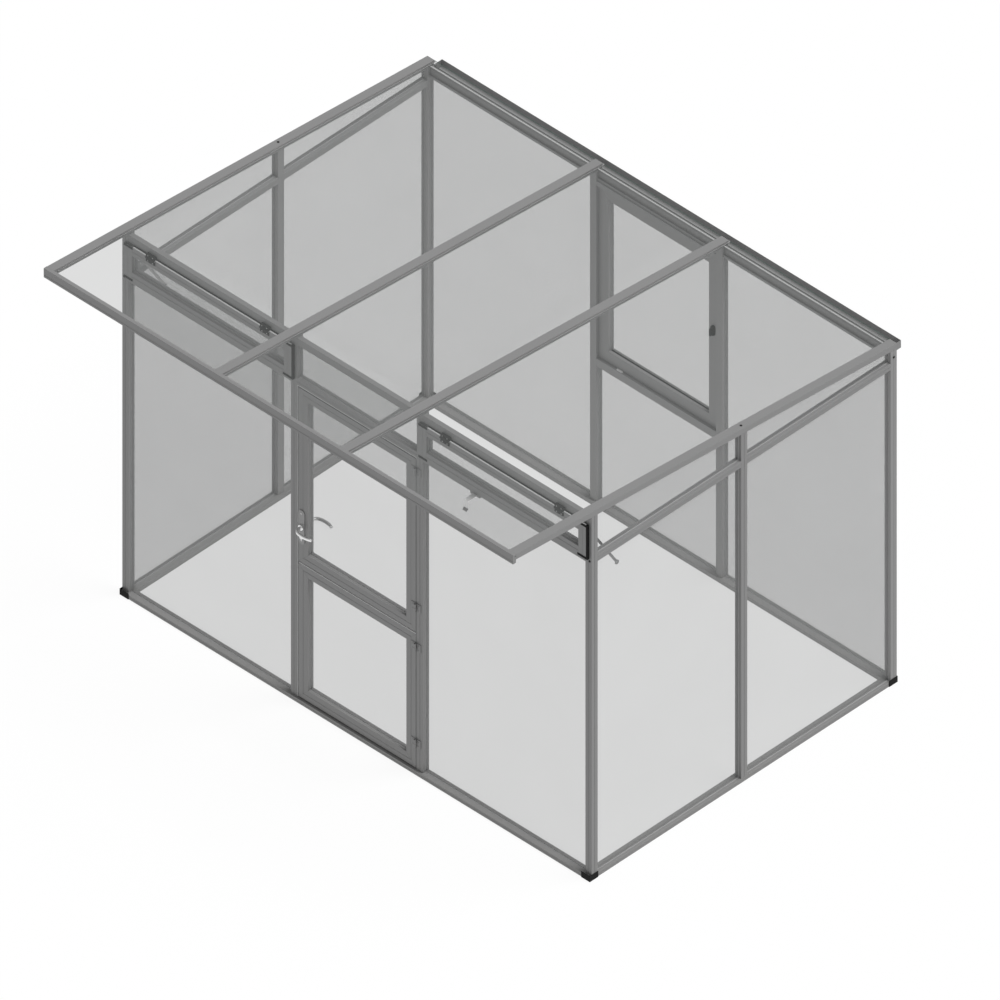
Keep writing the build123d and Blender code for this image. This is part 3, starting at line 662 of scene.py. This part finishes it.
@dataclass
class Glazing:
    """Rubber beads that press on both faces of every pane; the leg in the groove is painted pale against its
    shade.
    """

    nodes: Dict[str, bpy.types.Object]
    finishes: Finishes
    bite: float = 0.0065
    bead_width: float = 0.0024
    bead_height: float = 0.0026
    least_area: float = 0.03
    leg_side: int = 0
    profile_shares: Tuple[Tuple[float, float], ...] = (
        (-1.6, 0.02),
        (1.0, 0.02),
        (0.85, 0.55),
        (0.45, 0.9),
        (0.0, 1.0),
        (0.0, 0.08),
        (-1.6, 0.08),
    )

    def outlines(self, node: bpy.types.Object) -> List[Tuple[List[Vector], Vector]]:
        """Find the large faces of the panes in a node.

        Args:
            node: glass node.

        Returns:
            The corners of each large face, in order, with the face's normal.
        """
        work = bmesh.new()
        work.from_mesh(node.data)
        bmesh.ops.remove_doubles(work, verts=work.verts, dist=MERGE_DISTANCE)
        bmesh.ops.dissolve_limit(work, angle_limit=FLAT_ANGLE, verts=work.verts, edges=work.edges)
        found = []
        for face in work.faces:
            if face.calc_area() > self.least_area:
                found.append(([vert.co.copy() for vert in face.verts], face.normal.copy()))
        work.free()
        return found

    def inset(self, corners: List[Vector], normal: Vector, distances: List[float]) -> List[Vector]:
        """Move each side of a flat outline inwards by its own distance.

        Args:
            corners: corners of the outline, in order.
            normal: normal of its plane.
            distances: distance for each side, which starts at the corner of its place.

        Returns:
            The corners of the moved outline.
        """
        count = len(corners)
        moved = []
        for place in range(count):
            before = (corners[place] - corners[place - 1]).normalized()
            after = (corners[(place + 1) % count] - corners[place]).normalized()
            turn = before.cross(after).dot(normal)
            shift = (after * distances[place - 1] - before * distances[place]) * (1.0 / turn)
            moved.append(corners[place] + shift)
        return moved

    def bead(
        self,
        mesher: Mesher,
        corners: List[Vector],
        normal: Vector,
        free_side: Optional[int],
        foot: Optional[Mesher] = None,
    ) -> None:
        """Lay one bead along the sides of a face.

        Args:
            mesher: piece that takes the bead.
            corners: corners of the face.
            normal: normal of the face.
            free_side: side of the face that has no bar and so no bead.
            foot: piece that takes the bead of the lowest side instead, in black rubber as painted shade.
        """
        count = len(corners)
        lowest = min(range(count), key=lambda side: (corners[side] + corners[(side + 1) % count]).z)
        cut_sides = (free_side, None if foot is None else lowest)
        rings = []
        for across_share, height_share in self.profile_shares:
            reach = self.bite + self.bead_width * across_share
            distances = [0.0 if side == free_side else reach for side in range(count)]
            ring = self.inset(corners, normal, distances)
            rings.append([point + normal * (self.bead_height * height_share) for point in ring])
        for side in range(count):
            if side == free_side:
                continue
            following = (side + 1) % count
            sections = [[ring[place] for ring in rings] for place in (side, following)]
            alone = foot is not None and side == lowest
            close_start = alone or (side - 1) % count in cut_sides
            close_end = alone or following in cut_sides
            self.span(foot if alone else mesher, sections, close_start, close_end)

    def span(self, mesher: Mesher, sections: List[List[Vector]], close_start: bool, close_end: bool) -> None:
        """Join two sections of a bead and close an end that meets no other bead.

        Args:
            mesher: piece that takes the faces.
            sections: the bead's section at both ends.
            close_start: close the first end.
            close_end: close the second end.
        """
        start = len(mesher.points)
        count = len(sections[0])
        far = start + count
        mesher.points.extend(sections[0])
        mesher.points.extend(sections[1])
        for step in range(count):
            following = (step + 1) % count
            if step == self.leg_side:
                mesher.second.append(len(mesher.faces))
            mesher.faces.append((start + step, start + following, far + following, far + step))
        if close_start:
            mesher.faces.append(tuple(start + step for step in range(count)))
        if close_end:
            mesher.faces.append(tuple(far + step for step in range(count)))

    def build(self) -> None:
        """Make the beads of every glass node."""
        # The window's lowest bead goes into its own black piece: a dark strip of painted shade along the
        # pane's foot.
        foot = Mesher("window_foot_painted_shade")
        for name, node in self.nodes.items():
            if not name.endswith("_glass"):
                continue
            mesher = Mesher(name.replace("_glass", "_seals"))
            for corners, normal in self.outlines(node):
                free_side = None
                if name == "roof_glass":
                    count = len(corners)
                    free_side = max(
                        range(count), key=lambda side: (corners[side] + corners[(side + 1) % count]).y
                    )
                self.bead(mesher, corners, normal, free_side, foot if name == "window_glass" else None)
            mesher.make(
                self.finishes.get("grey_rubber"),
                Body(node["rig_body"]),
                # The leg faces take pale rubber, painted light against the shade in the groove.
                second=self.finishes.get("pale_rubber"),
                weld=True,
            )
        # Black rubber here is painted shade, darker than the grey beads on the other sides.
        foot.make(self.finishes.get("rubber"), Body.FRAME, weld=True)


@dataclass
class Vents:
    """Seals, corner keys and rain strips of the two vents."""

    finishes: Finishes
    low: float = 1.872
    high: float = 2.071
    front: float = -0.770
    post_front: float = -0.758
    rail_foot: float = 2.077
    outer: float = 1.460
    inner: float = 0.3995
    seal_width: float = 0.007
    seal_proud: float = 0.0015
    seal_lap: float = 0.002
    key_length: float = 0.056
    key_height: float = 0.013
    strip_gap: float = 0.002
    strip_inset: float = 0.004
    strip_height: float = 0.0035
    strip_depth: float = 0.0055
    edge: float = 0.0006
    hinge_inset: float = 0.170
    hinge_half: float = 0.028
    hinge_face: float = -0.774
    hinge_axis_level: float = 2.071
    screw_offset: float = 0.015
    screw_levels: Tuple[float, float] = (2.0525, 2.0835)
    screw_socket: int = 3
    pin_profile: Tuple[Tuple[float, float], ...] = (
        (0.0034, 0.0),
        (0.0034, 0.0009),
        (0.0026, 0.0016),
        (0.0004, 0.0018),
    )
    screw_profile: Tuple[Tuple[float, float], ...] = (
        (0.0033, 0.0),
        (0.0033, 0.0005),
        (0.0026, 0.0011),
        (0.0015, 0.0012),
        (0.0014, 0.0003),
    )

    def spans(self) -> List[Tuple[float, float]]:
        """Give the left and right edges of the two sashes."""
        return [(-self.outer, -self.inner), (self.inner, self.outer)]

    def build(self) -> None:
        """Make the seals, keys and strips."""
        seals = Mesher("vent_edge_seals")
        strips = Mesher("vent_rain_strips")
        face = self.front - self.seal_proud
        strip_back = self.front + self.strip_depth
        for left, right in self.spans():
            side = right - self.seal_lap
            seals.block(
                (left + self.key_length, strip_back, self.high),
                (right - self.key_length, self.post_front + self.strip_inset, self.rail_foot),
            )
            strips.block(
                (left + self.key_length + self.strip_gap, self.front, self.high),
                (right - self.strip_inset, strip_back, self.high + self.strip_height),
            )
            seals.block((side, face, self.low), (right + self.seal_width, self.post_front, self.high))
            for level in (self.low, self.high - self.key_height):
                top = level + self.key_height
                seals.block((right - self.key_length, face, level), (side, self.front, top))
                seals.block((left, face, level), (left + self.key_length, self.front, top))
        seals.make(self.finishes.get("rubber"), Body.FRAME, self.edge)
        strips.make(self.finishes.get("light_strip"), Body.FRAME, self.edge)
        self.pin_hinges()

    def pin_hinges(self) -> None:
        """Put screws in the plates of each hinge and a pin end on each side of its barrel."""
        screws = Mesher("vent_hinge_screws")
        for left, right in self.spans():
            for middle in (left + self.hinge_inset, right - self.hinge_inset):
                for side in (-1, 1):
                    for level in self.screw_levels:
                        place = Vector((middle + side * self.screw_offset, self.hinge_face, level))
                        screws.turned(
                            place, Vector(FRONT_WAY), self.screw_profile, socket_from=self.screw_socket
                        )
                    end = Vector((middle + side * self.hinge_half, self.hinge_face, self.hinge_axis_level))
                    screws.turned(end, Vector((side, 0, 0)), self.pin_profile)
        screws.make(self.finishes.get("zinc"), Body.FRAME)


@dataclass
class GutterTrim:
    """Pale strip of painted light under the rear edge of the roof panes and the stop at the gutter's left
    end.
    """

    finishes: Finishes
    strip_low: Tuple[float, float, float] = (-1.436, 1.2005, 1.9575)
    strip_high: Tuple[float, float, float] = (1.436, 1.2055, 1.9625)
    foot_level: float = 1.9465
    foot_depth: float = 0.008
    stop_low: Tuple[float, float, float] = (-1.4425, 1.2305, 1.9265)
    stop_high: Tuple[float, float, float] = (-1.4275, 1.2615, 1.9515)
    edge: float = 0.0012

    def build(self) -> None:
        """Make the strip and the stop."""
        strip = Mesher("roof_rear_strip")
        strip.block(self.strip_low, self.strip_high)
        # The strip's pale rubber is painted light: a thin bright line along the rear edge of the roof panes.
        strip.make(self.finishes.get("pale_rubber"), Body.FRAME, self.edge)
        left, front, top = self.strip_low
        foot = Mesher("roof_rear_packing")
        foot.block((left, front, self.foot_level), (self.strip_high[0], front + self.foot_depth, top))
        foot.make(self.finishes.get("strip_rubber"), Body.FRAME, self.edge)
        stop = Mesher("gutter_stop")
        stop.block(self.stop_low, self.stop_high)
        stop.make(self.finishes.get("frame_grey"), Body.FRAME, self.edge)


@dataclass
class DoorStrips:
    """Soft strips that close the gaps round the two leaves."""

    finishes: Finishes
    half_opening: float = 0.3775
    latch_gap: float = 0.008
    hinge_gap: float = 0.006
    head: float = 1.845
    foot: float = 0.024
    split: float = 0.811
    front: float = -0.758
    setback: float = 0.0008
    depth: float = 0.011
    latch_thickness: float = 0.0028
    hinge_clear: float = 0.0006
    head_height: float = 0.0035
    split_height: float = 0.003
    edge: float = 0.0009

    def build(self) -> None:
        """Make the strips on the posts, under the head and on the lower leaf."""
        near = self.front + self.setback
        far = near + self.depth
        left = -self.half_opening
        right = self.half_opening
        latch = Mesher("door_latch_strip")
        latch.block((left, near, self.foot), (left + self.latch_thickness, far, self.head - self.head_height))
        # The latch strip's pale rubber is painted light that brightens the gap at the latch side.
        latch.make(self.finishes.get("pale_rubber"), Body.FRAME, self.edge)
        head = Mesher("door_head_strip")
        head.block((left, near, self.head - self.head_height), (right, far, self.head))
        head.make(self.finishes.get("light_strip"), Body.FRAME, self.edge)
        hinge = Mesher("door_hinge_strip")
        inner = right - self.hinge_gap + self.hinge_clear
        hinge.block((inner, near, self.foot), (right, far, self.head - self.head_height))
        hinge.make(self.finishes.get("strip_rubber"), Body.FRAME, self.edge)
        split = Mesher("door_split_strip")
        leaf_left = left + self.latch_gap
        leaf_right = right - self.hinge_gap
        split.block((leaf_left, near, self.split), (leaf_right, far, self.split + self.split_height))
        split.make(self.finishes.get("light_strip"), Body.LOWER_LEAF, self.edge)


@dataclass
class WindowKeeper:
    """Small bright keeper plate on the sill of the window."""

    finishes: Finishes
    centre: Tuple[float, float, float] = (-0.238, 1.1995, 0.859)
    length: float = 0.038
    width: float = 0.012
    height: float = 0.003
    crown_share: float = 0.86
    steps: int = 12

    def outline(self, share: float, level: float) -> List[Vector]:
        """Give a ring with round ends.

        Args:
            share: how far the ring reaches, as a share of the plate.
            level: height above the foot.

        Returns:
            The points of the ring.
        """
        radius = self.width / 2
        reach = self.length / 2 - radius
        ring = []
        for end in (1, -1):
            for step in range(self.steps + 1):
                turn = math.pi * (step / self.steps - 0.5)
                x = end * (reach + radius * share * math.cos(turn))
                y = end * radius * share * math.sin(turn)
                ring.append(Vector(self.centre) + Vector((x, y, level)))
        return ring

    def build(self) -> None:
        """Make the plate."""
        keeper = Mesher("window_keeper")
        edge_level = self.height * self.crown_share
        rings = [(1.0, 0.0), (1.0, edge_level), (self.crown_share, self.height)]
        keeper.loft([self.outline(share, level) for share, level in rings])
        keeper.make(self.finishes.get("light_strip"), Body.FRAME)


@dataclass
class DoorFittings:
    """Collars, key cylinders and screws of the two leaves."""

    finishes: Finishes
    hub: Tuple[float, float] = (-0.3475, 1.031)
    front: float = -0.758
    leaf_depth: float = 0.037
    plate: float = 0.004
    cylinder_drop: float = 0.062
    screw_rise: float = 0.078
    collar_profile: Tuple[Tuple[float, float], ...] = (
        (0.0150, 0.0),
        (0.0150, 0.0055),
        (0.0142, 0.0068),
        (0.0120, 0.0074),
        (0.0068, 0.0074),
    )
    cylinder_profile: Tuple[Tuple[float, float], ...] = (
        (0.0088, 0.0),
        (0.0088, 0.0030),
        (0.0080, 0.0036),
        (0.0068, 0.0036),
        (0.0066, 0.0030),
        (0.0016, 0.0030),
        (0.0014, 0.0012),
    )
    screw_profile: Tuple[Tuple[float, float], ...] = (
        (0.0036, 0.0),
        (0.0036, 0.0006),
        (0.0028, 0.0013),
        (0.0018, 0.0015),
        (0.0017, 0.0004),
    )
    screw_socket: int = 3
    hinge_screw_inset: float = 0.019
    hinge_screw_rise: float = 0.013
    hinge_plate: float = 0.003

    def sides(self) -> List[Tuple[float, Vector]]:
        """Give the two faces of the lock.

        Returns:
            The level of each plate's face and the way it looks.
        """
        outside = self.front - self.plate
        inside = self.front + self.leaf_depth + self.plate
        return [(outside, Vector(FRONT_WAY)), (inside, -Vector(FRONT_WAY))]

    def build(self) -> None:
        """Make the collars, cylinders and screws."""
        fittings = Mesher("door_lock_fittings")
        for face, way in self.sides():
            hub = Vector((self.hub[0], face, self.hub[1]))
            drop = Vector((0, 0, self.cylinder_drop))
            fittings.turned(hub, way, self.collar_profile, FITTING_STEPS)
            fittings.turned(hub - drop, way, self.cylinder_profile, FITTING_STEPS)
            for end in (-1, 1):
                place = hub + Vector((0, 0, end * self.screw_rise))
                fittings.turned(place, way, self.screw_profile, socket_from=self.screw_socket)
        fittings.make(self.finishes.get("steel"), Body.UPPER_LEAF)
        self.hinge_screws()

    def hinge_screws(self) -> None:
        """Put two screws in each hinge plate."""
        carried = (
            ("post_hinges", Body.FRAME, 1),
            ("upper_leaf_hinges", Body.UPPER_LEAF, -1),
            ("lower_leaf_hinges", Body.LOWER_LEAF, -1),
        )
        levels = hinge_levels()
        for node, body, side in carried:
            screws = Mesher(node + "_screws")
            for level in levels[node]:
                for end in (-1, 1):
                    place = Vector(
                        (
                            HINGE_AXIS_X + side * self.hinge_screw_inset,
                            self.front - self.hinge_plate,
                            level + end * self.hinge_screw_rise,
                        )
                    )
                    screws.turned(place, Vector(FRONT_WAY), self.screw_profile, socket_from=self.screw_socket)
            screws.make(self.finishes.get("hinge_grey"), body)


def hinge_levels() -> Dict[str, List[float]]:
    """Read the middle levels of the hinges from the nodes themselves.

    Returns:
        The levels for each of the three hinge nodes.
    """
    levels: Dict[str, List[float]] = {}
    for name in ("post_hinges", "upper_leaf_hinges", "lower_leaf_hinges"):
        heights = sorted(vert.co.z for vert in frame["nodes"][name].data.vertices)
        groups: List[List[float]] = []
        for height in heights:
            if groups and height - groups[-1][-1] < HINGE_SPACING:
                groups[-1].append(height)
            else:
                groups.append([height])
        levels[name] = [(group[0] + group[-1]) / 2 for group in groups]
    return levels


@dataclass
class ScrewCaps:
    """Black caps over the screws that hold the bars together."""

    finishes: Finishes
    half_length: float = 1.482
    post: float = 0.040
    front_inset: float = 0.0125
    front: float = -0.758
    back: float = 1.230
    transom_middle: float = 1.860
    back_rail_middle: float = 1.909
    rafter_place: float = 1.461
    rafter_y: float = 0.236
    roof_front: Tuple[float, float] = (-1.270, 2.200)
    roof_fall: float = 0.088
    cap_profile: Tuple[Tuple[float, float], ...] = (
        (0.0062, 0.0),
        (0.0062, 0.0012),
        (0.0052, 0.0021),
        (0.0026, 0.0026),
        (0.0004, 0.0027),
    )

    def build(self) -> None:
        """Make the caps."""
        caps = Mesher("screw_caps")
        reach = self.half_length - self.front_inset
        for side in (-1, 1):
            corner = Vector((side * reach, self.front, self.transom_middle))
            caps.turned(corner, Vector(FRONT_WAY), self.cap_profile)
            outward = Vector((side, 0, 0))
            place = Vector((side * self.half_length, self.back - self.post / 2, self.back_rail_middle))
            caps.turned(place, outward, self.cap_profile)
            top = self.roof_front[1] - self.roof_fall * (self.rafter_y - self.roof_front[0])
            up = Vector((0, self.roof_fall, 1)).normalized()
            caps.turned(Vector((side * self.rafter_place, self.rafter_y, top)), up, self.cap_profile)
        caps.make(self.finishes.get("plastic"), Body.FRAME, smooth=True)


@dataclass
class Studio:
    """Floor, light and camera."""

    azimuth: float = math.radians(44.11)
    elevation: float = math.radians(39.18)
    picture_width: float = 4.5331
    aim_right: float = 0.121
    aim_up: float = 0.7298
    camera_distance: float = 12.0
    camera_reach: float = 48.0
    floor_half: float = 40.0
    floor_level: float = -0.0015
    sky_level: float = 0.5
    sun_from: Tuple[float, float, float] = (0.327, 0.2, 0.84)
    sun_strength: float = 2.9
    sun_angle: float = math.radians(30.0)
    fill_from: Tuple[float, float, float] = (0.6, -0.75, 0.28)
    fill_strength: float = 0.75
    fill_angle: float = math.radians(60.0)
    room_words: Tuple[str, ...] = ("back", "window", "side_post_left", "side_transom_left", "base_rail_left")

    def build(self) -> None:
        """Make the floor, the light and the camera."""
        self.make_floor()
        self.make_light()
        self.make_camera()

    def make_floor(self) -> None:
        """Lay the floor just under the feet."""
        half = self.floor_half
        mesh = bpy.data.meshes.new("floor")
        corners = [(-half, -half), (half, -half), (half, half), (-half, half)]
        mesh.from_pydata([(x, y, self.floor_level) for x, y in corners], [], [(0, 1, 2, 3)])
        mesh.materials.append(FloorPaint("floor_paint").build())
        floor = bpy.data.objects.new("floor", mesh)
        bpy.context.scene.collection.objects.link(floor)
        LOG.info("floor laid")

    def make_light(self) -> None:
        """Set an even sky, one broad light from above and a soft fill for the far side of the room."""
        world = bpy.data.worlds.new("studio_sky")
        world.use_nodes = True
        sky = world.node_tree.nodes["Background"]
        sky.inputs["Color"].default_value = grey(1.0)
        sky.inputs["Strength"].default_value = self.sky_level
        bpy.context.scene.world = world
        self.make_lamp("studio_light", self.sun_from, self.sun_strength, self.sun_angle)
        fill = self.make_lamp("room_fill", self.fill_from, self.fill_strength, self.fill_angle)
        fill.data.use_shadow = False
        room_side = bpy.data.collections.new("room_side")
        for name, node in frame["nodes"].items():
            if any(word in name for word in self.room_words):
                room_side.objects.link(node)
        fill.light_linking.receiver_collection = room_side
        bpy.context.scene.view_settings.view_transform = "Standard"
        LOG.info("light set")

    def make_lamp(
        self, name: str, shines_from: Tuple[float, float, float], strength: float, angle: float
    ) -> bpy.types.Object:
        """Hang one broad lamp far away.

        Args:
            name: name of the lamp.
            shines_from: direction that its light comes from.
            strength: strength of the light.
            angle: how broad the lamp looks from the floor.

        Returns:
            The lamp.
        """
        lamp = bpy.data.lights.new(name, "SUN")
        lamp.energy = strength
        lamp.angle = angle
        light = bpy.data.objects.new(name, lamp)
        light.rotation_mode = "QUATERNION"
        light.rotation_quaternion = Vector(shines_from).to_track_quat("Z", "Y")
        bpy.context.scene.collection.objects.link(light)
        return light

    def make_camera(self) -> None:
        """Set a camera without perspective at the viewing angle of the picture."""
        cos_a = math.cos(self.azimuth)
        sin_a = math.sin(self.azimuth)
        cos_e = math.cos(self.elevation)
        sin_e = math.sin(self.elevation)
        right = Vector((cos_a, sin_a, 0))
        upward = Vector((-sin_a * sin_e, cos_a * sin_e, cos_e))
        back = Vector((sin_a * cos_e, -cos_a * cos_e, sin_e))
        data = bpy.data.cameras.new("camera")
        data.type = "ORTHO"
        data.ortho_scale = self.picture_width
        data.clip_end = self.camera_reach
        camera = bpy.data.objects.new("camera", data)
        camera.rotation_mode = "QUATERNION"
        camera.rotation_quaternion = back.to_track_quat("Z", "Y")
        camera.location = right * self.aim_right + upward * self.aim_up + back * self.camera_distance
        bpy.context.scene.collection.objects.link(camera)
        bpy.context.scene.camera = camera
        LOG.info("camera set")


def main() -> None:
    """Build and dress the whole greenhouse."""
    logging.basicConfig(level=logging.INFO, format="%(name)s: %(message)s")
    slots = {row["node"]: row["material_slot"] for row in frame["record"]["subparts"]}
    finishes = Finishes()
    BarFrame(frame["nodes"], slots, finishes).dress()
    Glazing(frame["nodes"], finishes).build()
    Vents(finishes).build()
    GutterTrim(finishes).build()
    DoorStrips(finishes).build()
    WindowKeeper(finishes).build()
    DoorFittings(finishes).build()
    ScrewCaps(finishes).build()
    Studio().build()


if __name__ == "__main__":
    main()
